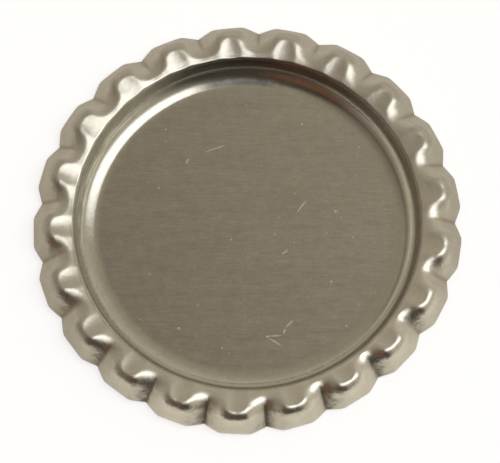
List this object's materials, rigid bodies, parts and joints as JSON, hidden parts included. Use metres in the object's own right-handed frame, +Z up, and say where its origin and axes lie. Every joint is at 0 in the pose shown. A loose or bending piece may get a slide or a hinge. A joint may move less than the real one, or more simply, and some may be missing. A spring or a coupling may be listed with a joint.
{
  "type": "bottle cap",
  "caption": "Flattened crown bottle cap of bare tinplate: a shallow round recess with a flat floor inside a ring of pinched flutes and a lobed edge.",
  "frame": {"origin": "middle of the flat panel's underside, on the surface that the cap lies on", "axes": "+Z up, out of the open side of the recess, along the cap's axis; +X to the right in the display view"},
  "size_m": [0.0332, 0.0332, 0.0023],
  "materials": {
    "tinplate": "bare rolled tinplate, satin floor with a fine straight grain, brighter where the press has burnished the rim and the tongues"
  },
  "bodies": {
    "root": {"cap_shell": "tinplate"}
  },
  "joints": []
}
